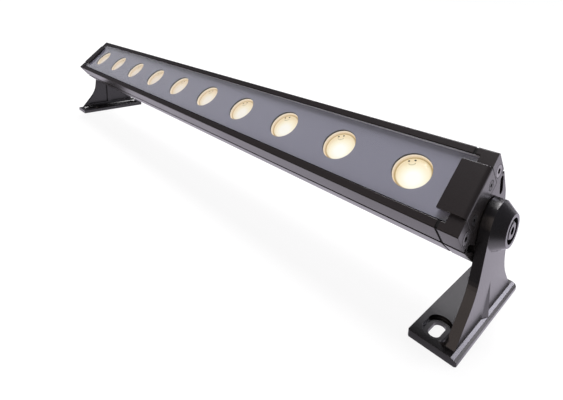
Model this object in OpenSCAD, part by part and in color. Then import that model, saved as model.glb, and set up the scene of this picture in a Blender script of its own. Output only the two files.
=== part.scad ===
// Outdoor wall washer light: a long lamp head that tilts between two cast brackets.
// X runs along the lamp, Y from front to back, Z up. The origin is on the mounting surface,
// midway between the brackets and right under the tilt axis. All sizes are in millimetres.
// Inside the lamp head, depths are counted downwards from the tops of its two face rails.

/* [Light sources] */
// Number of round windows and light sources in the row
led_count = 10; // [6:1:14]
// Distance from one light source to the next
led_pitch = 50; // [44:0.5:60]
// Diameter of a clear round window in the face
window_dia = 22.4; // [18:0.2:24]
// Distance from the last light source to the end of the lamp head
end_margin = 36; // [34:0.5:46]

/* [Lamp body] */
// Width of the lamp head across its two face rails
lamp_w = 49; // [47.5:0.5:54]
// Width of a face rail beside the glass
rail_w = 4.4; // [4:0.1:5]
// Depth of the upper part, down to the shadow groove
lid_h = 14.7; // [14.2:0.1:16.5]
// Width of the shadow groove along the sides
groove_w = 2.2; // [1.2:0.1:2.4]
// Depth of the shadow groove into the side wall
groove_d = 2.4; // [1:0.1:2.6]
// How far each side wall leans inwards below the groove
wall_lean = 2.6; // [1.5:0.1:3.4]
// Depth of the floor that carries the light board
optic_d = 19; // [17.5:0.5:21]
// Thickness of that floor
floor_t = 2.5; // [2:0.1:3.5]
// Height of the wiring chamber under the floor
wire_h = 8; // [7.4:0.2:10]
// Thickness of the wall between the wiring chamber and the cooling fins
keel_t = 2.2; // [1.8:0.1:3]
// Half width of the light chamber
chamber_hw = 15.6; // [14.6:0.1:16.2]
// Half width of the wiring chamber
wire_hw = 14.4; // [13.4:0.1:15]

/* [Cooling fins] */
// Number of fins along the back of the lamp body
fin_count = 7; // [5:2:7]
// Thickness of a fin
fin_t = 1.8; // [1.2:0.1:2.2]
// Distance from one fin to the next
fin_pitch = 5.2; // [4.8:0.1:5.4]
// Length of the middle fin
fin_len = 13; // [11:0.5:15]
// How much shorter each fin is than its inner neighbour
fin_step = 0.5; // [0:0.1:1]

/* [Glass] */
// How far the glass lies below the rail tops
glass_drop = 0.3; // [0.1:0.1:0.8]
// Thickness of the glass
glass_t = 2.5; // [2:0.1:3.2]
// Thickness of the printed mask under the glass
mask_t = 0.4; // [0.3:0.1:0.8]
// Thickness of the rubber seal under the mask
seal_t = 0.8; // [0.5:0.1:1.2]
// Width of the rubber seal
seal_w = 2.4; // [1.8:0.1:2.4]

/* [Lenses] */
// Where a lens sits in its cup, as a share of the height of the cup
lens_seat_share = 0.8; // [0.6:0.02:0.82]
// Thickness of the edge of a lens
lens_edge = 0.8; // [0.6:0.1:1]
// How far a lens bulges above its edge
lens_rise = 1.6; // [0.8:0.1:1.8]

/* [End caps] */
// Length of an end cap along the lamp
cap_len = 10.1; // [9.6:0.1:13]
// Thickness of the gasket between an end cap and the lamp body
gasket_t = 1.4; // [0.8:0.1:1.6]
// How far the gasket stays back from the outer faces
gasket_inset = 0.3; // [0.2:0.1:1]
// How far the glass reaches over an end cap
glass_over = 2.1; // [1.6:0.1:2.6]
// Distance of a cap screw from the middle of the lamp
cap_screw_y = 19.8; // [19.4:0.1:20]
// Depth of the upper cap screws
cap_screw_d = 9.8; // [8.5:0.1:10.4]
// Distance of a lower cap screw from the middle of the lamp
low_screw_y = 13; // [12.6:0.1:13.4]
// Depth of the lower cap screws
low_screw_d = 37.2; // [36.4:0.1:38]
// Depth of the core pockets in an end face
pocket_d = 6; // [3:0.5:7]

/* [Glass clips] */
// Width of a clip that holds the glass down at an end
clip_w = 29.8; // [28:0.2:31]
// Reach of a clip over the face, from the end of the lamp
clip_len = 14.6; // [13:0.2:18]
// Thickness of the clip over the glass
clip_t = 1.6; // [1.2:0.1:2.2]
// Thickness of the leg of the clip on the end face
leg_t = 2.2; // [2:0.1:2.6]
// Depth of the lower edge of the leg
leg_d = 13.4; // [12.6:0.1:14]
// Outer bend radius of the clip
bend_r = 2.4; // [1.2:0.1:2.8]
// Gap round a clip in its seat on the end cap
clip_gap = 0.4; // [0.2:0.1:0.6]
// Distance of a clip screw from the middle of the lamp
clip_screw_y = 10.2; // [9:0.1:11]
// Depth of the clip screws
clip_screw_d = 8.7; // [7.8:0.1:9.4]

/* [Tilt] */
// How far the lamp faces forwards from straight up, in degrees
tilt = 40; // [0:1:85]
// Height of the tilt axis above the mounting surface
pivot_h = 56; // [52:0.5:70]
// Depth of the tilt axis below the rail tops
pivot_d = 28; // [26:0.5:29]

/* [Brackets] */
// Gap between the lamp head and the inner face of a bracket
side_gap = 0.5; // [0.4:0.1:1]
// Thickness of the bracket upright
upright_t = 5; // [4.5:0.1:7]
// Width of the foot's ledge outside the upright
ledge_w = 2.8; // [2.4:0.1:4]
// How far that ledge falls towards its outer edge
ledge_fall = 0.6; // [0.2:0.1:0.9]
// Width of the foot inside the upright, under the lamp
foot_in = 17; // [16.4:0.2:24]
// Length of the foot from front to back
foot_len = 80; // [76:1:100]
// Thickness of the foot
foot_t = 3.8; // [3.4:0.1:5]
// Radius of the rounded top of the upright, and of the base of its boss
head_r = 13.6; // [12.5:0.1:15]
// Width of the upright at the bend above its flared foot
waist_w = 36; // [33:0.5:40]
// Height of that bend above the foot
waist_h = 20.5; // [18:0.5:24]
// Radius of that bend
flare_r = 30; // [20:1:34]
// Width of the upright where it meets the foot
flare_w = 71; // [66:0.5:74]
// Height of the pointed outer rib above the foot
rib_h = 25; // [18:0.5:28]
// Half width of the outer rib at the foot
rib_hw = 6; // [4:0.1:8]
// Thickness of the inner rib
rib_t = 5; // [3:0.1:6]
// Depth of the two panels beside the inner rib
panel_d = 2.4; // [1.2:0.1:2.6]
// Width of the rim round those panels
rim_w = 3.2; // [2.4:0.1:4]

/* [Boss and pivot bolt] */
// Height of the tapered boss on the upright
boss_h = 5.8; // [5.4:0.1:7]
// Radius of the flat end of the boss
boss_r = 9; // [8.6:0.1:10]
// Radius of the round recess in the boss
recess_r = 7; // [6.8:0.1:7.4]
// Depth of that recess
recess_d = 5.2; // [5:0.1:5.4]
// Radius of the pivot bolt
bolt_r = 3; // [2.8:0.1:3.2]
// Radius of the domed bolt head
bolt_head_r = 5.2; // [4.8:0.1:5.6]
// Height of the bolt head
bolt_head = 3.4; // [3:0.1:4]
// Radius of the dome of the bolt head
bolt_dome_r = 6.4; // [6:0.1:8]
// Width across the flats of the socket in the bolt head
bolt_key = 4; // [3:0.5:5]
// Depth of that socket
bolt_key_d = 2.2; // [1.5:0.1:2.6]
// Thickness of the flat washer under the head
washer_t = 1; // [0.8:0.1:1]
// Radius of that washer
washer_r = 6.2; // [5.8:0.1:6.6]
// Radius of the friction ring between the lamp and a bracket
ring_r = 10.6; // [9:0.1:11]
// Thickness of the friction ring
ring_t = 1.1; // [1.1:0.1:1.6]

/* [Mounting slots] */
// Width of a mounting slot
slot_w = 6; // [5:0.1:6.6]
// Length of a mounting slot
slot_len = 12; // [9:0.5:14]
// Width of the sunk seat round a slot
seat_w = 12; // [10:0.5:13]
// Length of the sunk seat
seat_len = 18; // [16:0.5:20]
// Depth of the sunk seat
seat_depth = 1.8; // [1:0.1:2.2]
// Distance from a slot's middle to the inner edge of the foot
slot_in = 9.2; // [8.6:0.1:9.6]
// Distance between the front and the back slot
slot_span = 54; // [50:1:56]

/* [Cable gland] */
// Distance of the cable gland from the end of the lamp head
gland_end = 71; // [62:1:92]
// Thread radius of the gland
gland_r = 6; // [5:0.5:6.5]
// Width across the flats of the gland
gland_af = 15; // [14:0.5:17]
// Radius of the cable opening
inlet_r = 3.3; // [2.5:0.1:3.6]

/* [Hidden] */
$fn = 64;

// Overrun of a cut past the face that it opens
over = 0.5;
// How deep a joined shape reaches into the one that carries it
weld = 0.4;
// Gap round a screw in its thread
thread_gap = 0.05;
// Gap round a piece in its seat
fit_gap = 0.15;
// Radial gap of the pivot bolt in its bore
pivot_gap = 0.06;

// Colours, as the photograph shows them
coat = [0.24, 0.23, 0.24];
coat_face = [0.28, 0.27, 0.29];
black_rubber = [0.05, 0.05, 0.05];
steel = [0.75, 0.75, 0.77];
print_grey = [0.52, 0.52, 0.56];
warm_light = [1.0, 0.93, 0.78];

// Lengths along the lamp
led_x = [for (i = [0:led_count - 1]) (i - (led_count - 1) / 2) * led_pitch];
lamp_half = led_x[led_count - 1] + end_margin;
cap_in = lamp_half - cap_len;
body_half = cap_in - gasket_t;
glass_half = cap_in + glass_over;
gland_x = lamp_half - gland_end;

// Depths in the lamp head
glass_bottom = glass_drop + glass_t;
mask_bottom = glass_bottom + mask_t;
seat_bottom = mask_bottom + seal_t;
wire_top = optic_d + floor_t;
wire_bottom = wire_top + wire_h;
wall_d = wire_bottom + keel_t;
back_d = wall_d + fin_len;
groove_bottom = lid_h + groove_w;

// Half widths in the lamp head
lamp_hw = lamp_w / 2;
glass_hw = lamp_hw - rail_w - fit_gap;
wall_hw = lamp_hw - wall_lean;
back_lean_share = 0.36;
back_hw = wall_hw - fin_len * back_lean_share;
edge_chamfer = 0.6;
back_chamfer = 2;

// Light board and its parts
board_t = 1.6;
board_hw = chamber_hw - fit_gap;
board_end = 6;
board_half = led_x[led_count - 1] + window_dia / 2 + board_end;
board_top = optic_d - board_t;
board_step = 2;
emitter_w = 5;
emitter_t = 0.9;
dome_r = 1.8;
cup_wall = 0.8;
cup_rim = 1;
cup_foot_r = 3.8;
cup_top = mask_bottom;
cup_steps = 8;
cup_power = 0.55;
cup_h = board_top - cup_top;
lens_steps = 10;
board_screw_r = 1.5;
board_head_r = 2.8;
board_head_h = 1.6;
board_screw_len = 3.6;

// Driver board in its guide slots
driver_t = 1.6;
driver_groove = 1;
driver_hw = wire_hw + driver_groove - fit_gap;
driver_lift = 1;
driver_bottom = wire_bottom - driver_lift;
driver_top = driver_bottom - driver_t;
driver_from = -120;
driver_to = 100;
part_h = driver_top - wire_top - over;
coil_r = 6.5;
cap_r = part_h / 2;
cap_can_len = 16;
chip_w = 10;
chip_h = 2;
chip_y = 8;
terminal_w = 18;
terminal_len = 12;
link_r = 2;

// Screws of the end caps
m4_r = 2;
m4_head_r = 3.5;
m4_head_h = 4;
m4_hole_r = 2.2;
m4_bite = 9;
m4_key = 3;
key_d = 2;
sink_gap = 0.3;
port_r = 3.5;

// Screws of the clips
m3_r = 1.5;
m3_head_r = 2.6;
m3_head_h = 1.7;
m3_hole_r = 1.7;
m3_bite = 5;
m3_key = 2;
m3_key_d = 1;

// Core pockets in an end face
pocket_w = 4.2;
pocket_side = 4;
pocket_drop = 1.8;
pocket_run = 3;
pocket_fall = 6.2;
pocket_out = [lamp_hw - pocket_side, groove_bottom + pocket_drop];
pocket_in = pocket_out + [-pocket_run, pocket_fall];

// Bracket
foot_from = lamp_half + side_gap - foot_in;
upright_in = lamp_half + side_gap;
upright_out = upright_in + upright_t;
foot_to = upright_out + ledge_w;
boss_end = upright_out + boss_h;
recess_floor = boss_end - recess_d;
axis_up = pivot_h - foot_t;
foot_corner = 0.8;
foot_chamfer = 1.1;
inner_fillet = 3.5;
flare_steps = 8;
rib_reach = ledge_w - foot_chamfer;
bore_r = bolt_r + pivot_gap;
bolt_wall = 1.6;
bolt_bite = cap_len - bolt_wall;
bore_end_gap = 0.6;
bolt_chamfer = 0.5;
slot_x = foot_from + slot_in;

// Gland
flat_cut = 0.2;
flat_d = wall_d - flat_cut;
gland_wall = keel_t - flat_cut;
gland_flange = 4;
locknut_t = 3;
gland_stub = gland_wall + locknut_t + weld;
dome_len = 11;
dome_wall = 1.8;
dome_in_r = gland_af / 2 - dome_wall;
insert_wall_gap = 0.1;
insert_len = 9;
mouth_gap = 1;
mouth_r = inlet_r + mouth_gap;
mill_margin = 4;
mill_hw = gland_af / 2 + mill_margin;

// Places a shape of the lamp head, drawn face up with its rail tops at zero
module tilted() {
    translate([0, 0, pivot_h]) rotate([tilt, 0, 0]) translate([0, 0, pivot_d]) children();
}

// Draws children at both ends of the lamp
module both_ends() {
    children();
    mirror([1, 0, 0]) children();
}

// A section in Y and Z, drawn along X from one place to another
module along_x(from, to) {
    translate([from, 0, 0]) rotate([90, 0, 90]) linear_extrude(to - from) children();
}

// A round bar along X at a place in Y and Z
module bar_x(from, to, r, y, z) {
    translate([from, y, z]) rotate([0, 90, 0]) cylinder(r = r, h = to - from);
}

// A block from one corner to the other
module block(low, high) {
    translate(low) cube(high - low);
}

// A screw along X with its head's underside at zero
module socket_screw(head_r, head_h, shank_r, len, key, key_deep) {
    difference() {
        union() {
            bar_x(0, head_h, head_r, 0, 0);
            bar_x(-len, weld, shank_r, 0, 0);
        }
        translate([head_h - key_deep, 0, 0]) rotate([0, 90, 0])
            cylinder(d = key / cos(30), h = key_deep + over, $fn = 6);
    }
}

// Outer outline of the lamp head, drawn in by an inset, with the shadow groove in both sides
module lamp_outline(inset) {
    rail = lamp_hw - inset;
    wall = wall_hw - inset;
    back = back_hw - inset;
    low = -back_d + inset;
    difference() {
        polygon([
            [-rail, -edge_chamfer - inset], [-rail + edge_chamfer, -inset],
            [rail - edge_chamfer, -inset], [rail, -edge_chamfer - inset],
            [rail, -groove_bottom], [wall, -wall_d],
            [back, low + back_chamfer], [back - back_chamfer, low],
            [-back + back_chamfer, low], [-back, low + back_chamfer],
            [-wall, -wall_d], [-rail, -groove_bottom]
        ]);
        for (side = [-1, 1])
            translate([side * rail - groove_d, -groove_bottom])
                square([2 * groove_d, groove_w]);
    }
}

// Section of the extruded body down to the wall above its fins: rails and both chambers
module housing_section() {
    difference() {
        intersection() {
            lamp_outline(0);
            translate([-lamp_hw, -wall_d]) square([lamp_w, wall_d]);
        }
        translate([-glass_hw - fit_gap, -seat_bottom])
            square([2 * (glass_hw + fit_gap), seat_bottom + over]);
        translate([-chamber_hw, -optic_d]) square([2 * chamber_hw, optic_d]);
        translate([-wire_hw, -wire_bottom]) square([2 * wire_hw, wire_h]);
        translate([-wire_hw - driver_groove, -driver_bottom - fit_gap])
            square([2 * (wire_hw + driver_groove), driver_t + 2 * fit_gap]);
    }
}

// Cooling fins and the two lower screw ports between them
module fins() {
    fin_half = (fin_count - 1) / 2;
    for (i = [-fin_half:fin_half]) {
        deep = fin_len - abs(i) * fin_step;
        block([-body_half, i * fin_pitch - fin_t / 2, -wall_d - deep],
              [body_half, i * fin_pitch + fin_t / 2, -wall_d + weld]);
    }
    for (side = [-1, 1]) bar_x(-body_half, body_half, port_r, side * low_screw_y, -low_screw_d);
}

// Extruded aluminium body with tapped screw ports in both ends
module housing() {
    color(coat) tilted() difference() {
        union() {
            along_x(-body_half, body_half) housing_section();
            fins();
        }
        both_ends() {
            for (side = [-1, 1]) {
                bar_x(body_half - m4_bite - bore_end_gap, body_half + over,
                      m4_r + thread_gap, side * cap_screw_y, -cap_screw_d);
                bar_x(body_half - m4_bite - bore_end_gap, body_half + over,
                      m4_r + thread_gap, side * low_screw_y, -low_screw_d);
            }
        }
        for (x = board_screw_x())
            translate([x, 0, -wire_top - over])
                cylinder(r = board_screw_r + thread_gap, h = floor_t + 2 * over);
        translate([link_x(), 0, -wire_top - over])
            cylinder(r = link_r + fit_gap, h = floor_t + 2 * over);
        // milled flat with the threaded hole of the cable gland
        translate([-gland_x, 0, -wall_d - over])
            cylinder(r = gland_r + thread_gap, h = keel_t + 2 * over);
        block([-gland_x - mill_hw, -lamp_hw, -back_d - over],
              [-gland_x + mill_hw, lamp_hw, -flat_d]);
    }
}

// Toughened glass cover
module glass_cover() {
    color([0.8, 0.85, 0.88, 0.4]) tilted()
        block([-glass_half, -glass_hw, -glass_bottom], [glass_half, glass_hw, -glass_drop]);
}

// Grey printed mask with one clear window over each light source
module window_mask() {
    color(print_grey) tilted() difference() {
        block([-glass_half, -glass_hw, -mask_bottom], [glass_half, glass_hw, -glass_bottom]);
        for (x = led_x)
            translate([x, 0, -mask_bottom - over])
                cylinder(d = window_dia, h = mask_t + 2 * over);
    }
}

// Rubber seal frame between the mask and its seat
module glass_seal() {
    color(black_rubber) tilted() difference() {
        block([-glass_half, -glass_hw, -seat_bottom], [glass_half, glass_hw, -mask_bottom]);
        block([-cap_in + fit_gap, -glass_hw + seal_w, -seat_bottom - over],
              [cap_in - fit_gap, glass_hw - seal_w, -mask_bottom + over]);
    }
}

// Places of the board screws: midway between light sources, every second gap from the middle
function board_screw_x() =
    [for (i = [0:board_step:led_count / 2 - 1], side = i == 0 ? [1] : [-1, 1])
        side * i * led_pitch + (led_count % 2) * led_pitch / 2];

// Place of the lead between the boards: midway between two light sources
function link_x() = -led_pitch + (led_count % 2) * led_pitch / 2;

// Aluminium-core light board
module led_board() {
    color("white") tilted() difference() {
        block([-board_half, -board_hw, -optic_d], [board_half, board_hw, -board_top]);
        for (x = board_screw_x())
            translate([x, 0, -optic_d - over])
                cylinder(r = board_screw_r + fit_gap, h = board_t + 2 * over);
    }
}

// Light sources: a square base and a clear dome each
module led_emitters() {
    color(warm_light) tilted() for (x = led_x) translate([x, 0, -board_top]) {
        translate([-emitter_w / 2, -emitter_w / 2, 0]) cube([emitter_w, emitter_w, emitter_t]);
        intersection() {
            translate([0, 0, emitter_t]) sphere(r = dome_r);
            cylinder(r = 2 * dome_r, h = 2 * dome_r);
        }
    }
}

// Radius of the inside of a cup at a share of its height
function cup_r(share) =
    cup_foot_r + (window_dia / 2 - cup_wall - cup_foot_r) * pow(share, cup_power);

// Bright reflector cups, each open at its foot round the light source
module reflectors() {
    inside = [for (i = [0:cup_steps]) [cup_r(i / cup_steps), cup_h * i / cup_steps]];
    outside = [for (i = [cup_steps:-1:0])
        [cup_r(i / cup_steps) + cup_wall, cup_h * i / cup_steps]];
    color("silver") tilted() for (x = led_x) translate([x, 0, -board_top]) {
        rotate_extrude() polygon(concat(inside, outside));
        difference() {
            translate([0, 0, cup_h - cup_rim]) cylinder(d = window_dia + 2 * cup_rim, h = cup_rim);
            translate([0, 0, cup_h - cup_rim - over])
                cylinder(r = cup_r(1) + cup_wall / 2, h = cup_rim + 2 * over);
        }
    }
}

// Frosted lenses, each with a domed top, seated in the cups over the light sources
module lenses() {
    lens_r = cup_r(lens_seat_share) - fit_gap;
    dome = [for (i = [0:lens_steps])
        [lens_r * cos(90 * i / lens_steps), lens_edge + lens_rise * sin(90 * i / lens_steps)]];
    color(warm_light) tilted() for (x = led_x)
        translate([x, 0, -board_top + cup_h * lens_seat_share])
            rotate_extrude() polygon(concat([[0, 0], [lens_r, 0]], dome));
}

// Screws that hold the light board down
module board_screws() {
    color(steel) tilted() for (x = board_screw_x())
        translate([x, 0, -board_top]) rotate([0, -90, 0])
            socket_screw(board_head_r, board_head_h, board_screw_r, board_screw_len, m3_key, m3_key_d);
}

// Driver board with its coil, capacitor, chips and terminal block
module driver_board() {
    mid = (driver_from + driver_to) / 2;
    third = (driver_to - driver_from) / 6;
    color([0.12, 0.36, 0.2]) tilted() translate([0, 0, -driver_top]) {
        block([driver_from, -driver_hw, -driver_t], [driver_to, driver_hw, 0]);
        translate([mid + third, 0, -weld]) cylinder(r = coil_r, h = part_h + weld);
        bar_x(mid + 2 * third, mid + 2 * third + cap_can_len, cap_r, 0, cap_r - weld);
        for (side = [-1, 1])
            block([mid - chip_w / 2, side * chip_y - chip_w / 2, -weld],
                  [mid + chip_w / 2, side * chip_y + chip_w / 2, chip_h]);
        block([driver_from, -terminal_w / 2, -weld],
              [driver_from + terminal_len, terminal_w / 2, part_h]);
    }
}

// Lead from the driver board up to the light board
module board_link() {
    color("red") tilted() translate([link_x(), 0, -driver_top])
        cylinder(r = link_r, h = driver_top - optic_d);
}

// Cast end cap at the right-hand end
module end_cap() {
    difference() {
        along_x(cap_in, lamp_half) lamp_outline(0);
        // seat of the seal, mask and glass
        block([cap_in - over, -glass_hw - fit_gap, -seat_bottom],
              [glass_half + fit_gap, glass_hw + fit_gap, over]);
        // seats of the clip, over the face and down the end
        block([glass_half, -clip_w / 2 - clip_gap, -glass_drop],
              [lamp_half + over, clip_w / 2 + clip_gap, over]);
        block([lamp_half - leg_t, -clip_w / 2 - clip_gap, -leg_d - clip_gap],
              [lamp_half + over, clip_w / 2 + clip_gap, over]);
        for (side = [-1, 1]) {
            // upper and lower cap screws, sunk into the end face
            cap_screw_hole(side * cap_screw_y, -cap_screw_d);
            cap_screw_hole(side * low_screw_y, -low_screw_d);
            // thread of a clip screw
            bar_x(lamp_half - leg_t - m3_bite - bore_end_gap, lamp_half,
                  m3_r + thread_gap, side * clip_screw_y, -clip_screw_d);
            // core pocket beside the pivot
            along_x(lamp_half - pocket_d, lamp_half + over) hull() {
                translate([side * pocket_out[0], -pocket_out[1]]) circle(d = pocket_w);
                translate([side * pocket_in[0], -pocket_in[1]]) circle(d = pocket_w);
            }
        }
        // thread of the pivot bolt and seat of the friction ring
        bar_x(lamp_half - bolt_bite - bore_end_gap, lamp_half + over,
              bolt_r + thread_gap, 0, -pivot_d);
        bar_x(lamp_half + side_gap - ring_t, lamp_half + over, ring_r + fit_gap, 0, -pivot_d);
    }
}

// Sunk hole of one cap screw
module cap_screw_hole(y, z) {
    bar_x(cap_in - over, lamp_half + over, m4_hole_r, y, z);
    bar_x(lamp_half - m4_head_h, lamp_half + over, m4_head_r + sink_gap, y, z);
}

module end_cap_right() {
    color(coat) tilted() end_cap();
}

module end_cap_left() {
    color(coat) tilted() mirror([1, 0, 0]) end_cap();
}

// Black rubber gasket between the lamp body and an end cap
module end_gasket() {
    along_x(body_half, cap_in) difference() {
        lamp_outline(gasket_inset);
        translate([-glass_hw - fit_gap, -seat_bottom])
            square([2 * (glass_hw + fit_gap), seat_bottom + over]);
        translate([-chamber_hw, -optic_d]) square([2 * chamber_hw, optic_d]);
        for (side = [-1, 1]) {
            translate([side * cap_screw_y, -cap_screw_d]) circle(r = m4_hole_r);
            translate([side * low_screw_y, -low_screw_d]) circle(r = m4_hole_r);
        }
    }
}

module end_gasket_right() {
    color(black_rubber) tilted() end_gasket();
}

module end_gasket_left() {
    color(black_rubber) tilted() mirror([1, 0, 0]) end_gasket();
}

// Four socket screws in each end cap
module cap_screws() {
    reach = cap_len - m4_head_h + gasket_t + m4_bite;
    color(steel) tilted() both_ends() for (side = [-1, 1]) {
        translate([lamp_half - m4_head_h, side * cap_screw_y, -cap_screw_d])
            socket_screw(m4_head_r, m4_head_h, m4_r, reach, m4_key, key_d);
        translate([lamp_half - m4_head_h, side * low_screw_y, -low_screw_d])
            socket_screw(m4_head_r, m4_head_h, m4_r, reach, m4_key, key_d);
    }
}

// Bent clip over the end of the glass, with a rounded outer bend
module glass_clip() {
    top = clip_t - glass_drop;
    difference() {
        translate([0, clip_w / 2, 0]) rotate([90, 0, 0]) linear_extrude(clip_w)
            difference() {
                union() {
                    translate([lamp_half - clip_len, -glass_drop]) square([clip_len, clip_t]);
                    translate([lamp_half - leg_t, -leg_d]) square([leg_t, leg_d + top]);
                }
                translate([lamp_half - bend_r, top - bend_r]) difference() {
                    square(bend_r + over);
                    circle(r = bend_r);
                }
            }
        for (side = [-1, 1]) {
            bar_x(lamp_half - leg_t - over, lamp_half + over, m3_hole_r,
                  side * clip_screw_y, -clip_screw_d);
            bar_x(lamp_half - m3_head_h, lamp_half + over, m3_head_r + sink_gap,
                  side * clip_screw_y, -clip_screw_d);
        }
    }
}

module glass_clip_right() {
    color(coat_face) tilted() glass_clip();
}

module glass_clip_left() {
    color(coat_face) tilted() mirror([1, 0, 0]) glass_clip();
}

// Two small socket screws in the leg of each clip
module clip_screws() {
    reach = leg_t - m3_head_h + m3_bite;
    color(steel) tilted() both_ends() for (side = [-1, 1])
        translate([lamp_half - m3_head_h, side * clip_screw_y, -clip_screw_d])
            socket_screw(m3_head_r, m3_head_h, m3_r, reach, m3_key, m3_key_d);
}

// Places a shape of the cable gland, drawn pointing down from the back of the body
module at_gland() {
    tilted() translate([-gland_x, 0, -flat_d]) children();
}

// Gland body: hexagon outside, thread through the wall
module gland_body() {
    color(black_rubber) at_gland() difference() {
        union() {
            translate([0, 0, -gland_flange])
                cylinder(d = gland_af / cos(30), h = gland_flange, $fn = 6);
            cylinder(r = gland_r, h = gland_stub);
        }
        translate([0, 0, -gland_flange - over])
            cylinder(r = mouth_r, h = gland_flange + gland_stub + 2 * over);
    }
}

// Nut that holds the gland inside the wiring chamber
module gland_locknut() {
    color(steel) at_gland() translate([0, 0, gland_wall]) difference() {
        cylinder(d = gland_af / cos(30), h = locknut_t, $fn = 6);
        translate([0, 0, -over]) cylinder(r = gland_r + thread_gap, h = locknut_t + 2 * over);
    }
}

// Rubber insert with the cable opening
module gland_insert() {
    color([0.2, 0.2, 0.2]) at_gland() translate([0, 0, -gland_flange - insert_len])
        difference() {
            cylinder(r = dome_in_r - insert_wall_gap, h = insert_len);
            translate([0, 0, -over]) cylinder(r = inlet_r, h = insert_len + 2 * over);
        }
}

// Domed cap nut that squeezes the insert round the cable
module gland_nut() {
    lip = dome_len - insert_len;
    color(black_rubber) at_gland() translate([0, 0, -gland_flange - dome_len]) difference() {
        intersection() {
            cylinder(d = gland_af / cos(30), h = dome_len, $fn = 6);
            cylinder(r1 = gland_af / 2 - lip, r2 = gland_af / 2 + dome_len - lip, h = dome_len);
        }
        translate([0, 0, lip]) cylinder(r = dome_in_r, h = insert_len + over);
        translate([0, 0, -over]) cylinder(r = mouth_r, h = dome_len);
    }
}

// Pivot bolt: domed socket head outside, shank through the bracket into the end cap
module pivot_bolt() {
    head_x = recess_floor + washer_t;
    tip_x = lamp_half - bolt_bite;
    translate([0, 0, -pivot_d]) {
        translate([head_x, 0, 0]) rotate([0, 90, 0]) difference() {
            intersection() {
                cylinder(r = bolt_head_r, h = bolt_head);
                translate([0, 0, bolt_head - bolt_dome_r]) sphere(r = bolt_dome_r);
            }
            translate([0, 0, bolt_head - bolt_key_d])
                cylinder(d = bolt_key / cos(30), h = bolt_key_d + over, $fn = 6);
        }
        bar_x(tip_x + bolt_chamfer, head_x + weld, bolt_r, 0, 0);
        translate([tip_x, 0, 0]) rotate([0, 90, 0])
            cylinder(r1 = bolt_r - bolt_chamfer, r2 = bolt_r, h = bolt_chamfer);
    }
}

module pivot_bolt_right() {
    color(steel) tilted() pivot_bolt();
}

module pivot_bolt_left() {
    color(steel) tilted() mirror([1, 0, 0]) pivot_bolt();
}

// Friction ring that holds the tilt, seated in the end cap
module friction_ring() {
    translate([0, 0, -pivot_d]) difference() {
        bar_x(lamp_half + side_gap - ring_t, lamp_half + side_gap, ring_r, 0, 0);
        bar_x(lamp_half - ring_t, lamp_half + ring_t, bolt_r + fit_gap, 0, 0);
    }
}

module friction_ring_right() {
    color("tan") tilted() friction_ring();
}

module friction_ring_left() {
    color("tan") tilted() mirror([1, 0, 0]) friction_ring();
}

// Flat washer under each bolt head
module pivot_washers() {
    color(steel) both_ends() translate([0, 0, pivot_h]) difference() {
        bar_x(recess_floor, recess_floor + washer_t, washer_r, 0, 0);
        bar_x(recess_floor - over, recess_floor + washer_t + over, bolt_r + fit_gap, 0, 0);
    }
}

// Points of the rounded corner between two edges that leave it, at a given radius
function corner_arc(p, to_a, to_b, r) =
    let (
        u = (to_a - p) / norm(to_a - p),
        w = (to_b - p) / norm(to_b - p),
        half = acos(u * w) / 2,
        centre = p + (u + w) / norm(u + w) * r / sin(half),
        first = p + u * r / tan(half) - centre,
        last = p + w * r / tan(half) - centre,
        a0 = atan2(first[1], first[0]),
        turn = atan2(last[1], last[0]) - a0,
        sweep = turn > 180 ? turn - 360 : turn < -180 ? turn + 360 : turn
    )
    [for (i = [0:flare_steps])
        centre + r * [cos(a0 + sweep * i / flare_steps), sin(a0 + sweep * i / flare_steps)]];

// Right-hand edge of the upright from its head down to the foot, drawn in by a rim
function upright_edge(rim) =
    let (
        head = [head_r - rim, axis_up],
        bend = [waist_w / 2 - rim, waist_h],
        toe = [flare_w / 2 - rim, 0]
    )
    concat([head], corner_arc(bend, head, toe, flare_r), [toe]);

// Outline of the flared upright under its head, in Y and Z above the foot
module upright_outline(rim) {
    edge = upright_edge(rim);
    last = len(edge) - 1;
    polygon(concat(edge, [for (i = [last:-1:0]) [-edge[i][0], edge[i][1]]]));
}

// Panels in the inner face, either side of the inner rib
module panel_outline() {
    difference() {
        upright_outline(rim_w);
        translate([0, axis_up]) circle(r = head_r + rim_w);
        translate([-rib_t / 2, 0]) square([rib_t, axis_up]);
        translate([-flare_w / 2, 0]) square([flare_w, inner_fillet + over]);
    }
}

// Foot plate with cut corners, drawn from above
module foot_outline() {
    low = [foot_from, -foot_len / 2];
    high = [foot_to, foot_len / 2];
    c = foot_corner;
    polygon([
        [low[0] + c, low[1]], [high[0] - c, low[1]], [high[0], low[1] + c],
        [high[0], high[1] - c], [high[0] - c, high[1]], [low[0] + c, high[1]],
        [low[0], high[1] - c], [low[0], low[1] + c]
    ]);
}

// A slot of a given width and length that runs along Y
module slot_hole(w, len, h) {
    translate([-w / 2, (w - len) / 2, 0]) cube([w, len - w, h]);
    for (side = [-1, 1]) translate([0, side * (len - w) / 2, 0]) cylinder(d = w, h = h);
}

// Outer rib: it leans on the ledge and runs up the upright to a point
module outer_rib() {
    root = upright_out - weld;
    crest = upright_out + rib_reach;
    sink = ledge_fall + weld;
    polyhedron(
        points = [
            [root, 0, rib_h], [root, -rib_hw, 0], [crest, 0, 0], [root, rib_hw, 0],
            [root, -rib_hw, -sink], [crest, 0, -sink], [root, rib_hw, -sink]
        ],
        faces = [
            [0, 2, 1], [0, 3, 2], [0, 1, 4, 6, 3], [1, 2, 5, 4], [2, 3, 6, 5], [4, 5, 6]
        ]
    );
}

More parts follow.
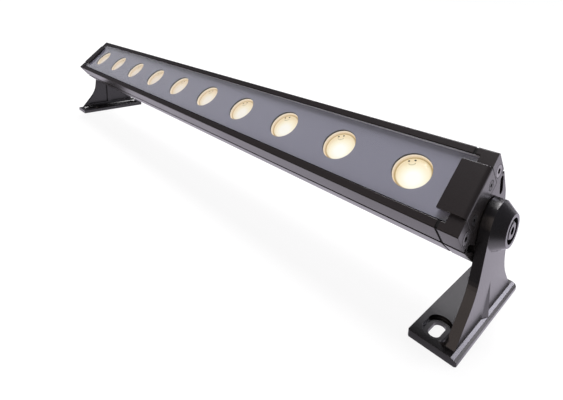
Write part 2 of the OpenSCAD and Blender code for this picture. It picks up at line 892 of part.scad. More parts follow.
// What is cut from above the sloping ledge and its chamfer
module ledge_cut() {
    edge = foot_to - foot_chamfer;
    translate([0, foot_len / 2 + over, foot_t]) rotate([90, 0, 0])
        linear_extrude(foot_len + 2 * over) polygon([
            [upright_out, 0], [edge, -ledge_fall], [foot_to, -ledge_fall - foot_chamfer],
            [foot_to + over, -ledge_fall - foot_chamfer], [foot_to + over, over],
            [upright_out, over]
        ]);
}

// Cast bracket at the right-hand end: foot, flared upright, ribs and tapered boss
module bracket() {
    difference() {
        union() {
            difference() {
                linear_extrude(foot_t) foot_outline();
                ledge_cut();
            }
            translate([0, 0, foot_t]) {
                along_x(upright_in, upright_out) upright_outline(0);
                outer_rib();
                // rounded inner corner between the foot and the upright
                difference() {
                    block([upright_in - inner_fillet, -flare_w / 2, -weld],
                          [upright_in + weld, flare_w / 2, inner_fillet]);
                    translate([upright_in - inner_fillet, flare_w / 2 + over, inner_fillet])
                        rotate([90, 0, 0]) cylinder(r = inner_fillet, h = flare_w + 2 * over);
                }
            }
            bar_x(upright_in, upright_out, head_r, 0, pivot_h);
            translate([upright_out, 0, pivot_h]) rotate([0, 90, 0])
                cylinder(r1 = head_r, r2 = boss_r, h = boss_h);
        }
        // panels in the inner face, beside the inner rib
        translate([0, 0, foot_t])
            along_x(upright_in - over, upright_in + panel_d) panel_outline();
        // bore and recess of the pivot bolt
        bar_x(upright_in - over, boss_end, bore_r, 0, pivot_h);
        bar_x(recess_floor, boss_end + over, recess_r, 0, pivot_h);
        // sunk mounting slots, front and back
        for (side = [-1, 1]) translate([slot_x, side * slot_span / 2, 0]) {
            translate([0, 0, -over]) slot_hole(slot_w, slot_len, foot_t + 2 * over);
            translate([0, 0, foot_t - seat_depth])
                slot_hole(seat_w, seat_len, seat_depth + inner_fillet + over);
        }
    }
}

module bracket_right() {
    color(coat) bracket();
}

module bracket_left() {
    color(coat) mirror([1, 0, 0]) bracket();
}

housing();
glass_cover();
window_mask();
glass_seal();
led_board();
led_emitters();
reflectors();
lenses();
board_screws();
driver_board();
board_link();
end_cap_right();
end_cap_left();
end_gasket_right();
end_gasket_left();
cap_screws();
glass_clip_right();
glass_clip_left();
clip_screws();
gland_body();
gland_locknut();
gland_insert();
gland_nut();
pivot_bolt_right();
pivot_bolt_left();
friction_ring_right();
friction_ring_left();
pivot_washers();
bracket_right();
bracket_left();
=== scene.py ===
# %% [markdown]
# # Outdoor wall washer light: looks
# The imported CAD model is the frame: it carries every real part of the lamp at its true place.
# This script gives those parts their materials. It replaces the glass, the cups, the lenses and
# the pivot bolts with finer pieces, and it adds the window rims and the marks in the lenses.
# Then it sets up the floor, the lights and the camera of the photograph.

# %% Load the frame
import math

import bmesh
import bpy
from mathutils import Matrix, Vector


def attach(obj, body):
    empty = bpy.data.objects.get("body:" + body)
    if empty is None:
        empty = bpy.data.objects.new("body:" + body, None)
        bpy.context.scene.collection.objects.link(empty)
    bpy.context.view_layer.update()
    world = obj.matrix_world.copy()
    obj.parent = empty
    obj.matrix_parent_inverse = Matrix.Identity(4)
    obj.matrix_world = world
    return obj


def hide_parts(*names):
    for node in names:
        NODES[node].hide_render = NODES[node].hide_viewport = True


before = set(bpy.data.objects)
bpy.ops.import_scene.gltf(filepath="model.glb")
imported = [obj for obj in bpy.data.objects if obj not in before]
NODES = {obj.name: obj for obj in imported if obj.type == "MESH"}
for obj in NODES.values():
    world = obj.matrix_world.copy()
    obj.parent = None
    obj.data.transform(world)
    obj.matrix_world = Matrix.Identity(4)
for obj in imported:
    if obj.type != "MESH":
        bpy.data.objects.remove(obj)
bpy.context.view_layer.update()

# %% [markdown]
# ## The lamp's own axes
# The lamp head is drawn face up: x along it, y across it, z out of its glass, with zero at the
# tops of the face rails. The same sizes could be worked out in the tilted pose, but they read
# more easily this way. One matrix then turns the drawing into the frame, by the tilt at rest.

# %% Sizes that the pieces share with the CAD part
MM = 0.001
MICRON = 0.001 * MM
TILT = math.radians(40)
PIVOT_H = 56 * MM  # tilt axis above the mounting surface
PIVOT_D = 28 * MM  # tilt axis below the tops of the rails
LED_COUNT = 10
LED_PITCH = 50 * MM
GLASS_HALF_L = 253 * MM  # half the length of the glass
GLASS_HALF_W = 19.95 * MM  # half its width
GLASS_DROP = 0.3 * MM  # top of the glass below the tops of the rails
GLASS_T = 2.5 * MM
MASK_BOTTOM = 3.2 * MM  # underside of the print below the tops of the rails

PIVOT = Matrix.Translation((0, 0, PIVOT_H))
LAMP = PIVOT @ Matrix.Rotation(TILT, 4, "X") @ Matrix.Translation((0, 0, PIVOT_D))
LED_X = [(i - (LED_COUNT - 1) / 2) * LED_PITCH for i in range(LED_COUNT)]
print("light sources from", round(LED_X[0], 4), "to", round(LED_X[-1], 4), "m")

# %% [markdown]
# ## Material tools
# A material is a small net of nodes, and written out link by link it hides what it does. These
# helpers keep it short. Each adds one kind of node, sets the plain values that it is given, links
# the sockets that it is given, and hands back the socket that comes out.


# %% Node helpers
def feed(tree, node, values):
    """Fills inputs of a node by name or number: a socket is linked, and any other value is set."""
    for key, value in values.items():
        if isinstance(value, bpy.types.NodeSocket):
            tree.links.new(value, node.inputs[key])
        else:
            node.inputs[key].default_value = value


def add_node(tree, kind, values=None, **settings):
    """Adds a shader node, with its settings first and its inputs after them."""
    node = tree.nodes.new("ShaderNode" + kind)
    for name, value in settings.items():
        setattr(node, name, value)
    feed(tree, node, values or {})
    return node


def calculate(tree, operation, *values):
    """The result of a math node."""
    node = add_node(tree, "Math", dict(enumerate(values)), operation=operation)
    return node.outputs["Value"]


def measure(tree, operation, *vectors):
    """The number that a vector math node finds from its vectors."""
    node = add_node(tree, "VectorMath", dict(enumerate(vectors)), operation=operation)
    return node.outputs["Value"]


def remap(tree, value, span, to=(0.0, 1.0), easing="LINEAR"):
    """A value carried over from one span to another, and held at the ends."""
    ends = {"From Min": span[0], "From Max": span[1], "To Min": to[0], "To Max": to[1]}
    node = add_node(tree, "MapRange", {"Value": value, **ends}, interpolation_type=easing)
    return node.outputs["Result"]


def blend(tree, factor, color_a, color_b):
    """A mix of two colours."""
    node = add_node(tree, "Mix", {"Factor": factor, "A": color_a, "B": color_b}, data_type="RGBA")
    return node.outputs["Result"]


def color_steps(tree, value, steps):
    """A colour ramp through steps of position and colour, in rising order."""
    ramp = add_node(tree, "ValToRGB", {"Fac": value})
    first, *middle, last = steps
    elements = ramp.color_ramp.elements
    elements[0].position, elements[0].color = first
    elements[1].position, elements[1].color = last
    for position, color in middle:
        elements.new(position).color = color
    return ramp.outputs["Color"]


def either_shader(tree, factor, shader_a, shader_b):
    """The first shader where the factor is 0, and the second where it is 1."""
    return add_node(tree, "MixShader", {"Fac": factor, 1: shader_a, 2: shader_b}).outputs["Shader"]


print("node helpers ready")

# %% [markdown]
# Effects that several materials share sit in node groups. A group is built once, and each
# material places it with its own values on named sockets. Shaders stay outside the groups.


# %% Group helpers
def new_group(name, inputs, outputs):
    """A node group with named sockets, each given with its kind, and its two end nodes."""
    group = bpy.data.node_groups.new(name, "ShaderNodeTree")
    for in_out, sockets in (("INPUT", inputs), ("OUTPUT", outputs)):
        for socket, kind in sockets.items():
            group.interface.new_socket(socket, in_out=in_out, socket_type="NodeSocket" + kind)
    return group, group.nodes.new("NodeGroupInput"), group.nodes.new("NodeGroupOutput")


def place_group(tree, group, values):
    """Adds a group to a material, on Object coordinates and with its own values."""
    coords = add_node(tree, "TexCoord")
    values = {"Vector": coords.outputs["Object"], **values}
    return add_node(tree, "Group", values, node_tree=group).outputs


BEVEL_SAMPLES = 6
print("group helpers ready")

# %% [markdown]
# ### Grain
# A sprayed or cast surface has fine bumps, and its gloss changes slowly from place to place. Its
# edges are a little round, and handling rubs them paler. Dust lies in the narrow gaps and takes
# their gloss away. Modelled bumps and edges would cost many faces, so the shader makes them: a
# noise texture for the grain, a bevel node for the edges, and ambient occlusion for the gaps.

# %% Group: fine grain of a sprayed, moulded or cast surface
FINE_DETAIL = 2.0
SLOW_SCALE = 22.0
SLOW_DETAIL = 3.0
GAP_SAMPLES = 4
DUST_REACH = 8 * MM
DUST_OPENNESS = (0.05, 0.3)  # how open a gap is where dust is thickest, and where it ends
DUST_ROUGHNESS = 0.9
EDGE_TURN = (0.98, 0.8)  # cosine between the two normals where wear begins and is full


def grain_group():
    """Small bumps and a slow change of gloss, rounded and rubbed edges, and dust in the gaps."""
    inputs = {"Vector": "Vector", "Color A": "Color", "Color B": "Color",
              "Grain Scale": "Float", "Grain Height": "Float",
              "Gloss Low": "Float", "Gloss High": "Float",
              "Edge Radius": "Float", "Edge Color": "Color", "Edge Wear": "Float"}
    outputs = {"Color": "Color", "Roughness": "Float", "Normal": "Vector"}
    tree, start, end = new_group("Surface grain", inputs, outputs)
    given = start.outputs
    fine = add_node(tree, "TexNoise", {"Vector": given["Vector"], "Scale": given["Grain Scale"],
                                       "Detail": FINE_DETAIL}).outputs["Fac"]
    slow = add_node(tree, "TexNoise", {"Vector": given["Vector"], "Scale": SLOW_SCALE,
                                       "Detail": SLOW_DETAIL}).outputs["Fac"]

    # dust gathers in narrow gaps and takes their gloss away
    gap = add_node(tree, "AmbientOcclusion", {"Distance": DUST_REACH}, samples=GAP_SAMPLES)
    dusty = remap(tree, gap.outputs["AO"], DUST_OPENNESS, to=(DUST_ROUGHNESS, 0.0))
    gloss = remap(tree, slow, (0.0, 1.0), to=(given["Gloss Low"], given["Gloss High"]))

    # where the rounded normal leaves the flat one there is an edge, and its coat is rubbed
    edge = add_node(tree, "Bevel", {"Radius": given["Edge Radius"]}, samples=BEVEL_SAMPLES)
    flat = add_node(tree, "NewGeometry")
    likeness = measure(tree, "DOT_PRODUCT", edge.outputs["Normal"], flat.outputs["Normal"])
    patchy = calculate(tree, "MULTIPLY", remap(tree, likeness, EDGE_TURN), slow)
    wear = calculate(tree, "MULTIPLY", patchy, given["Edge Wear"])
    coat = blend(tree, fine, given["Color A"], given["Color B"])

    bump = add_node(tree, "Bump", {"Strength": 1.0, "Height": fine,
                                   "Distance": given["Grain Height"],
                                   "Normal": edge.outputs["Normal"]})
    feed(tree, end, {"Color": blend(tree, wear, coat, given["Edge Color"]),
                     "Roughness": calculate(tree, "MAXIMUM", gloss, dusty),
                     "Normal": bump.outputs["Normal"]})
    return tree


GRAIN = grain_group()
print("group:", GRAIN.name, "with", len(GRAIN.nodes), "nodes")

# %% [markdown]
# ### Turned metal
# Screws and washers are bright where a tool has cut them, with very fine marks in the surface.
# A noise that is finer than a pixel gives them a lively shine without a pattern that shows.

# %% Group: cut surface of bright metal
CUT_ROUGHNESS = (0.16, 0.34)
CUT_EDGE = 0.25 * MM
CUT_DEPTH = 10 * MICRON
CUT_DETAIL = 3.0
CUT_STRENGTH = 0.5


def turned_group():
    """Fine tool marks that change the gloss and the bumps, and edges that are a little round."""
    inputs = {"Vector": "Vector", "Line Scale": "Float"}
    outputs = {"Roughness": "Float", "Normal": "Vector"}
    tree, start, end = new_group("Turned metal", inputs, outputs)
    given = start.outputs
    lines = add_node(tree, "TexNoise", {"Vector": given["Vector"], "Scale": given["Line Scale"],
                                        "Detail": CUT_DETAIL}).outputs["Fac"]
    edge = add_node(tree, "Bevel", {"Radius": CUT_EDGE}, samples=BEVEL_SAMPLES)
    bump = add_node(tree, "Bump", {"Strength": CUT_STRENGTH, "Distance": CUT_DEPTH,
                                   "Height": lines, "Normal": edge.outputs["Normal"]})
    feed(tree, end, {"Roughness": remap(tree, lines, (0.0, 1.0), to=CUT_ROUGHNESS),
                     "Normal": bump.outputs["Normal"]})
    return tree


TURNED = turned_group()
print("group:", TURNED.name, "with", len(TURNED.nodes), "nodes")

# %% [markdown]
# ## Materials
# Every material starts from the Principled shader. What is the same all over a surface is set
# there, and what changes over it comes from a group.

# %% Material helpers
BARE_EDGE = (0.1, 0.1, 0.1, 1)
STEEL_TINT = (1.0, 0.98, 0.97)
STEEL_LINES = 2600.0


def new_material(name):
    """A material with only a Principled shader and its output, and both nodes."""
    mat = bpy.data.materials.new(name)
    mat.use_nodes = True
    nodes = mat.node_tree.nodes
    return mat, nodes["Principled BSDF"], nodes["Material Output"]


def add_glow(mat, color, strength):
    """Lets a material shine by itself, in one colour or in those of a socket."""
    shader = mat.node_tree.nodes["Principled BSDF"]
    feed(mat.node_tree, shader, {"Emission Color": color, "Emission Strength": strength})


def grained(name, color_a, color_b, gloss, scale, height,
            edge=0.4 * MM, wear=0.0, shine=0.5, ior=1.46):
    """A material whose colour, gloss and bumps come from the grain group."""
    mat, shader, _ = new_material(name)
    grain = place_group(mat.node_tree, GRAIN, {
        "Color A": (*color_a, 1), "Color B": (*color_b, 1), "Grain Scale": scale,
        "Grain Height": height, "Gloss Low": gloss[0], "Gloss High": gloss[1],
        "Edge Radius": edge, "Edge Color": BARE_EDGE, "Edge Wear": wear})
    feed(mat.node_tree, shader, {
        "IOR": ior, "Specular IOR Level": shine, "Base Color": grain["Color"],
        "Roughness": grain["Roughness"], "Normal": grain["Normal"]})
    return mat


def steel(name, tone):
    """Cut steel in one tone of grey."""
    mat, shader, _ = new_material(name)
    lines = place_group(mat.node_tree, TURNED, {"Line Scale": STEEL_LINES})
    feed(mat.node_tree, shader, {
        "Base Color": (*(tone * share for share in STEEL_TINT), 1), "Metallic": 1.0,
        "Roughness": lines["Roughness"], "Normal": lines["Normal"]})
    return mat


print("material helpers ready")

# %% [markdown]
# ### Coats
# The body has a semi-gloss anthracite powder coat. It is nearly black, and it looks lighter where
# it mirrors the white floor at a flat angle. The cast brackets have a blacker and shinier coat
# over a coarser grain. A plain dark grey would miss this: most of what shows is mirror image.

# %% Coats of the body, the brackets and the clip screws
BODY_COAT = grained("body coat", (0.017, 0.0145, 0.0145), (0.026, 0.022, 0.022),
                    gloss=(0.2, 0.3), scale=1500, height=9 * MICRON, wear=0.7, shine=0.45)
CAST_COAT = grained("cast coat", (0.007, 0.0062, 0.0065), (0.013, 0.0115, 0.0125),
                    gloss=(0.2, 0.28), scale=900, height=13 * MICRON, edge=0.25 * MM, wear=0.7,
                    shine=0.55, ior=1.6)
SCREW_COAT = grained("black screw coat", (0.01, 0.01, 0.01), (0.018, 0.018, 0.018),
                     gloss=(0.3, 0.4), scale=2000, height=5 * MICRON, edge=0.15 * MM, wear=0.5,
                     shine=0.4)
print("coats:", BODY_COAT.name, "|", CAST_COAT.name, "|", SCREW_COAT.name)

# %% [markdown]
# ### Rubber, plastic, print and steel
# The seals are dull black rubber, and the gland is black plastic. The print below the glass is a
# smooth grey with a touch of violet. The pivot bolts are blackened, so they are far darker than
# the other steel.

# %% Rubber, plastic and print
RUBBER = grained("black rubber", (0.004, 0.004, 0.004), (0.009, 0.009, 0.009),
                 gloss=(0.6, 0.75), scale=2200, height=30 * MICRON, shine=0.15)
PLASTIC = grained("black plastic", (0.014, 0.014, 0.015), (0.024, 0.024, 0.026),
                  gloss=(0.35, 0.5), scale=1800, height=30 * MICRON)
# painted shade: this black stands for the shaded gap between the print and the cups under the
# windows
PAINTED_SHADE_RIM = grained("black rim", (0.006, 0.005, 0.005), (0.012, 0.01, 0.009),
                    gloss=(0.45, 0.6), scale=2600, height=10 * MICRON, edge=0.1 * MM, shine=0.25)
PRINT = grained("grey print", (0.215, 0.210, 0.268), (0.221, 0.216, 0.275),
                gloss=(0.35, 0.45), scale=3000, height=0.8 * MICRON, edge=0.1 * MM)
print("soft finishes:", RUBBER.name, "|", PLASTIC.name, "|", PAINTED_SHADE_RIM.name, "|", PRINT.name)

# %% Steel, and the finishes inside the lamp
STEEL = steel("stainless steel", tone=0.34)
SCREW_STEEL = steel("dark screw steel", tone=0.2)
BOLT_STEEL = steel("blackened bolt steel", tone=0.07)
RING = grained("fibre ring", (0.3, 0.22, 0.12), (0.4, 0.3, 0.17),
               gloss=(0.6, 0.8), scale=1200, height=40 * MICRON)
BOARD_WHITE = grained("white board", (0.78, 0.78, 0.75), (0.84, 0.84, 0.82),
                      gloss=(0.3, 0.4), scale=2500, height=8 * MICRON)
BOARD_GREEN = grained("green board", (0.015, 0.1, 0.04), (0.02, 0.14, 0.06),
                      gloss=(0.3, 0.42), scale=900, height=10 * MICRON)
WIRE = grained("red lead", (0.35, 0.015, 0.015), (0.45, 0.02, 0.02),
               gloss=(0.4, 0.5), scale=1500, height=10 * MICRON)
print("materials so far:", len(bpy.data.materials))

# %% [markdown]
# ### Glass
# The cover is a clear plate. Light that bends through glass is slow to trace, and the print below
# it would come out too dark. So the glass lets light and shadow rays straight through, and only
# what the camera sees bends and mirrors at its faces. Its long back edge is ground, and its pale
# line is partly the frosted ground glass and partly a painted highlight.

# %% Clear glass and its ground edge
GLASS_TINT = (0.97, 0.985, 0.98, 1)
GLASS_IOR = 1.46
GLASS_ROUGHNESS = 0.02
THROUGH_TINT = (0.93, 0.94, 0.94, 1)


def glass():
    """Clear glass that doesn't darken what lies under it."""
    mat, shader, out = new_material("clear glass")
    tree = mat.node_tree
    feed(tree, shader, {"Base Color": GLASS_TINT, "Roughness": GLASS_ROUGHNESS,
                        "IOR": GLASS_IOR, "Transmission Weight": 1.0})
    clear = add_node(tree, "BsdfTransparent", {"Color": THROUGH_TINT})
    ray = add_node(tree, "LightPath").outputs
    passes = calculate(tree, "MAXIMUM", ray["Is Shadow Ray"], ray["Is Diffuse Ray"])
    seen = either_shader(tree, passes, shader.outputs["BSDF"], clear.outputs["BSDF"])
    feed(tree, out, {"Surface": seen})
    return mat


GLASS = glass()
# partly painted highlight: the pale tone of the ground back edge also stands for the light it
# catches
GROUND_EDGE_AND_HIGHLIGHT = grained("ground glass edge", (0.38, 0.38, 0.42), (0.48, 0.48, 0.52),
                      gloss=(0.3, 0.45), scale=4000, height=5 * MICRON)
print("glass:", GLASS.name, "|", GROUND_EDGE_AND_HIGHLIGHT.name)

# %% [markdown]
# ### Lit lenses
# Each lens carries a UV map that holds the place on the lens, in units of its radius. The image
# of the light source lies off centre in the lens, so the glow is white there, cream round it and
# tan at the rim. Real light from ten small sources would need long renders, so the lens itself
# glows, by its distance from that image.

# %% Lit lens
LENS_AIM = (0.15, -0.28, 0.0)  # place of the image, in units of the radius
LENS_GLOW = ((0.34, (1.0, 0.99, 0.93, 1)), (0.7, (0.96, 0.88, 0.66, 1)),
             (1.0, (0.88, 0.72, 0.46, 1)))
LENS_RIM = (0.88, 0.96)  # shares of the radius
RIM_TAN = (0.4, 0.27, 0.1, 1)
LENS_TONE = (0.08, 0.07, 0.06, 1)
LENS_ROUGHNESS = 0.22
FROST_SCALE = 900.0
FROST_DEPTH = 30 * MICRON
# painted shade: far along the lamp the glow is blended towards a dimmer cream, as lenses seen
# flatter look
FAR_PLACES = (0.2, -0.06)  # metres along the lamp
FAR_CREAM = (0.62, 0.43, 0.3, 1)
FAR_SHARE = 0.62


def lit_lens():
    """Frosted lens: white over the image of its source, cream round it, tan at the edge."""
    mat, shader, _ = new_material("lit lens")
    tree = mat.node_tree
    place = add_node(tree, "UVMap", uv_map="place").outputs["UV"]
    glow = color_steps(tree, measure(tree, "DISTANCE", place, LENS_AIM), LENS_GLOW)
    rim = remap(tree, measure(tree, "LENGTH", place), LENS_RIM, easing="SMOOTHSTEP")
    glow = blend(tree, rim, glow, RIM_TAN)

    # towards the far end the lenses are seen flatter, and they look creamier: painted shade that
    # makes the glow creamier and dimmer along the lamp
    coords = add_node(tree, "TexCoord").outputs["Object"]
    along = add_node(tree, "SeparateXYZ", {"Vector": coords}).outputs["X"]
    far = remap(tree, along, FAR_PLACES, to=(0.0, FAR_SHARE))
    add_glow(mat, blend(tree, far, glow, FAR_CREAM), strength=1.0)

    frost = add_node(tree, "TexNoise", {"Vector": coords, "Scale": FROST_SCALE})
    bump = add_node(tree, "Bump", {"Height": frost.outputs["Fac"], "Distance": FROST_DEPTH})
    feed(tree, shader, {"Base Color": LENS_TONE, "Roughness": LENS_ROUGHNESS,
                        "Normal": bump.outputs["Normal"]})
    return mat


LENS = lit_lens()
print("lens:", LENS.name, "with", len(LENS.node_tree.nodes), "nodes")

# %% [markdown]
# ### Cups, sources and marks
# The cup round each lens glows with painted light, as if lit from inside, and the glow is darker
# towards its foot: painted shade. Its UV map holds the height. The dots in the lenses are dark,
# and the small arc is a moulded line whose glow is a painted highlight.

# %% Lit cup, light source and lens marks
CUP_PAINTED_LIGHT = ((0.1, (0.42, 0.29, 0.12, 1)), (0.4, (0.74, 0.55, 0.33, 1)),
            (0.75, (0.86, 0.72, 0.56, 1)))
SOURCE_COLOR = (1.0, 0.9, 0.7, 1)
LINE_PAINTED_HIGHLIGHT = (0.4, 0.34, 0.18, 1)


def cup_with_painted_light():
    """Cream moulded cup round a lens, with a painted glow for the light from inside that is darker
    towards its foot.
    """
    mat = grained("lit cup", (0.1, 0.085, 0.07), (0.14, 0.12, 0.1),
                  gloss=(0.3, 0.45), scale=1500, height=20 * MICRON, edge=0.2 * MM)
    tree = mat.node_tree
    place = add_node(tree, "UVMap", uv_map="place").outputs["UV"]
    height = add_node(tree, "SeparateXYZ", {"Vector": place}).outputs["Y"]
    # painted light: the cup glows by itself, and its glow is darker towards its foot (painted
    # shade)
    add_glow(mat, color_steps(tree, height, CUP_PAINTED_LIGHT), strength=0.95)
    return mat


def light_source():
    """A small source that glows in one warm colour."""
    mat, shader, _ = new_material("light source")
    feed(mat.node_tree, shader, {"Base Color": SOURCE_COLOR})
    add_glow(mat, SOURCE_COLOR, strength=1.5)
    return mat


CUP = cup_with_painted_light()
SOURCE = light_source()
MARK = grained("lens mark", (0.02, 0.013, 0.005), (0.04, 0.028, 0.012),
               gloss=(0.6, 0.7), scale=3000, height=10 * MICRON, shine=0.0)
MOULD_LINE = grained("mould line", (0.1, 0.08, 0.04), (0.14, 0.11, 0.06),
                     gloss=(0.4, 0.5), scale=3000, height=10 * MICRON, shine=0.1)
# painted highlight: the arc glows by itself, as if it caught the light of its source
add_glow(MOULD_LINE, LINE_PAINTED_HIGHLIGHT, strength=0.85)
print("materials in all:", len(bpy.data.materials))

# %% [markdown]
# ## Materials on the CAD parts
# A CAD part needs no new shape, only its finish. Parts that are made alike share one material, so
# a change of tone reaches all of them.

# %% Give each CAD part its material
FINISHES = (
    (BODY_COAT, ("housing", "end_cap_right", "end_cap_left", "glass_clip_right",
                 "glass_clip_left")),
    (CAST_COAT, ("bracket_right", "bracket_left")),
    (RUBBER, ("glass_seal", "end_gasket_right", "end_gasket_left", "gland_insert")),
    (PLASTIC, ("gland_body", "gland_nut")),
    (PRINT, ("window_mask",)),
    (STEEL, ("board_screws", "gland_locknut", "pivot_bolt_right", "pivot_bolt_left",
             "pivot_washers")),
    (SCREW_STEEL, ("cap_screws",)),
    (SCREW_COAT, ("clip_screws",)),
    (CUP, ("reflectors",)),
    (SOURCE, ("led_emitters",)),
    (LENS, ("lenses",)),
    (BOARD_WHITE, ("led_board",)),
    (BOARD_GREEN, ("driver_board",)),
    (WIRE, ("board_link",)),
    (RING, ("friction_ring_right", "friction_ring_left")),
    (GLASS, ("glass_cover",)),
)
for mat, names in FINISHES:
    for name in names:
        data = NODES[name].data
        data.materials.clear()
        data.materials.append(mat)
print("CAD parts with a material:", sum(len(names) for _, names in FINISHES))

# %% [markdown]
# ## New pieces
# Every new piece of the head is drawn in the lamp's own axes, turned into the frame and hung on
# its body, so that it moves with the tilt. Each starts as a bmesh that operators shape.

# %% Piece helpers
RIGHT_ANGLE = math.radians(90)


def finish_piece(name, bm, mats, body, matrix=LAMP, smooth=math.radians(35)):
    """Turns a mesh in progress into a piece that rides on a body."""
    bmesh.ops.recalc_face_normals(bm, faces=bm.faces)
    bm.transform(matrix)
    mesh = bpy.data.meshes.new(name)
    bm.to_mesh(mesh)
    bm.free()
    mesh.shade_smooth()
    mesh.set_sharp_from_angle(angle=smooth)
    for mat in mats:
        mesh.materials.append(mat)
    piece = bpy.data.objects.new(name, mesh)
    bpy.context.scene.collection.objects.link(piece)
    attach(piece, body)
    return piece


def edges_of(verts):
    """The edges that meet at some points of a mesh in progress."""
    return list({edge for vert in verts for edge in vert.link_edges})


def turn(bm, verts, angle, axis):
    """Turns points round an axis through zero."""
    bmesh.ops.rotate(bm, cent=(0, 0, 0), matrix=Matrix.Rotation(angle, 3, axis), verts=verts)


def add_turned(bm, profile, steps=64):
    """Spins a profile of (radius, height) points once round the z axis, and gives its points."""
    before = set(bm.verts)
    verts = [bm.verts.new((radius, 0.0, height)) for radius, height in profile]
    edges = [bm.edges.new(pair) for pair in zip(verts, verts[1:])]
    bmesh.ops.spin(bm, geom=verts + edges, cent=(0, 0, 0), axis=(0, 0, 1), angle=math.tau,
                   steps=steps, use_merge=True)
    return [vert for vert in bm.verts if vert not in before]


def turned_at_each_light(profile):
    """A bmesh with one turned shape over each light source."""
    bm = bmesh.new()
    for x in LED_X:
        bmesh.ops.translate(bm, vec=(x, 0, 0), verts=add_turned(bm, profile))
    return bm


print("piece helpers ready")

# %% [markdown]
# ### Glass plate
# The cover is one flat plate with its edges broken by grinding. A cube, scaled and bevelled in a
# single step, has just these faces. The back edge and the front edge have materials of their own:
# the back edge is pale, partly ground glass and partly a painted highlight, and the front edge has
# the black rubber, so it shows dark.

# %% Glass plate
GLASS_GAP = 0.05 * MM
EDGE_GRIND = 0.45 * MM
SIDEWAYS = 0.5

low = Vector((-GLASS_HALF_L, -GLASS_HALF_W, -GLASS_DROP - GLASS_T + GLASS_GAP))
high = Vector((GLASS_HALF_L, GLASS_HALF_W, -GLASS_DROP - GLASS_GAP))
bm = bmesh.new()
bmesh.ops.create_cube(bm, size=1.0)
bmesh.ops.scale(bm, vec=high - low, verts=bm.verts)
bmesh.ops.translate(bm, vec=(high + low) / 2, verts=bm.verts)
bmesh.ops.bevel(bm, geom=bm.edges[:], offset=EDGE_GRIND, offset_type="OFFSET", affect="EDGES",
                segments=1, profile=0.5, material=-1)
# back edge: ground glass with a painted highlight; front edge: black rubber, so it shows dark
for face in bm.faces:
    if face.normal.y > SIDEWAYS:
        face.material_index = 1
    elif face.normal.y < -SIDEWAYS:
        face.material_index = 2
glass_plate = finish_piece("glass_plate", bm, (GLASS, GROUND_EDGE_AND_HIGHLIGHT, RUBBER), "lamp_head")
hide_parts("glass_cover")
print("glass plate:", [round(v / MM, 1) for v in glass_plate.dimensions], "mm")

# %% [markdown]
# ### Window rims
# Under each window of the print sits a thin black rim, whose lip reaches up into the window. Its
# black is painted shade: it stands for the shaded gap between the print and the cup. It is round,
# so one profile is spun for each of the ten. The lip's top has the colour of the print.

# %% Window rims
CLEAR = 0.03 * MM
RIM_GAP = 0.04 * MM
RIM_TOP = -GLASS_DROP - GLASS_T - RIM_GAP
RIM_BOTTOM = -4.15 * MM
RIM_R = 11.0 * MM
RIM_LIP_R = 11.15 * MM
RIM_FLANGE_R = 12.3 * MM
RIM_BEVEL = 0.05 * MM

rim_profile = [
    (RIM_R, RIM_BOTTOM), (RIM_R, RIM_TOP - RIM_BEVEL), (RIM_R + RIM_BEVEL, RIM_TOP),
    (RIM_LIP_R, RIM_TOP), (RIM_LIP_R, -MASK_BOTTOM - CLEAR),
    (RIM_FLANGE_R, -MASK_BOTTOM - CLEAR), (RIM_FLANGE_R, RIM_BOTTOM), (RIM_R, RIM_BOTTOM),
]
bm = turned_at_each_light(rim_profile)
for face in bm.faces:
    if face.calc_center_median().z > RIM_TOP - RIM_BEVEL:
        face.material_index = 1
# the rims' black is painted shade in the gap under each window
window_rims = finish_piece("window_rims", bm, (PAINTED_SHADE_RIM, PRINT), "lamp_head")
print("window rims:", len(window_rims.data.polygons), "faces")

# %% [markdown]
# ### Cups
# A cup is a moulded funnel that widens from its foot on the light board to the seat of the lens
# and on to a rounded lip. Its wall has one thickness, so the profile goes up the inside and comes
# back down the outside. The UV map "place" holds the height above the seat, as a share.

# %% Cups
CUP_TOP = RIM_BOTTOM - CLEAR
CUP_LIP = 1.0 * MM
CUP_MOUTH_R = 11.1 * MM
CUP_RIM_R = 12.3 * MM
CUP_WALL = 0.8 * MM
CUP_ROUND = 0.3 * MM
MOUTH_DRAFT = 0.1 * MM
BOARD_TOP = -17.4 * MM
CUP_FOOT_R = 3.8 * MM
KNEE_OUT = 2.6 * MM
KNEE_UP = 3.4 * MM
KNEE_R = CUP_FOOT_R + KNEE_OUT
KNEE_Z = BOARD_TOP + KNEE_UP
LENS_SEAT = -7.2 * MM
SEAT_R = 10.45 * MM
SEAT_WALL = 1.0 * MM
SEAT_DRAFT = 0.12 * MM

cup_profile = [
    (CUP_FOOT_R, BOARD_TOP), (KNEE_R, KNEE_Z), (SEAT_R, LENS_SEAT),
    (SEAT_R + SEAT_DRAFT, LENS_SEAT + SEAT_WALL), (CUP_MOUTH_R - MOUTH_DRAFT, CUP_TOP - CUP_LIP),
    (CUP_MOUTH_R, CUP_TOP - CUP_ROUND), (CUP_MOUTH_R + CUP_ROUND, CUP_TOP),
    (CUP_RIM_R - CUP_ROUND, CUP_TOP), (CUP_RIM_R, CUP_TOP - CUP_ROUND),
    (CUP_RIM_R, CUP_TOP - CUP_LIP), (CUP_MOUTH_R + CUP_WALL, CUP_TOP - CUP_LIP - CUP_ROUND),
    (SEAT_R + CUP_WALL, LENS_SEAT), (KNEE_R + CUP_WALL, KNEE_Z),
    (CUP_FOOT_R + CUP_WALL, BOARD_TOP), (CUP_FOOT_R, BOARD_TOP),
]
bm = turned_at_each_light(cup_profile)
place = bm.loops.layers.uv.new("place")
for face in bm.faces:
    for loop in face.loops:
        height = (loop.vert.co.z - LENS_SEAT) / (CUP_TOP - LENS_SEAT)
        loop[place].uv = (0.5, min(1.0, max(0.0, height)))
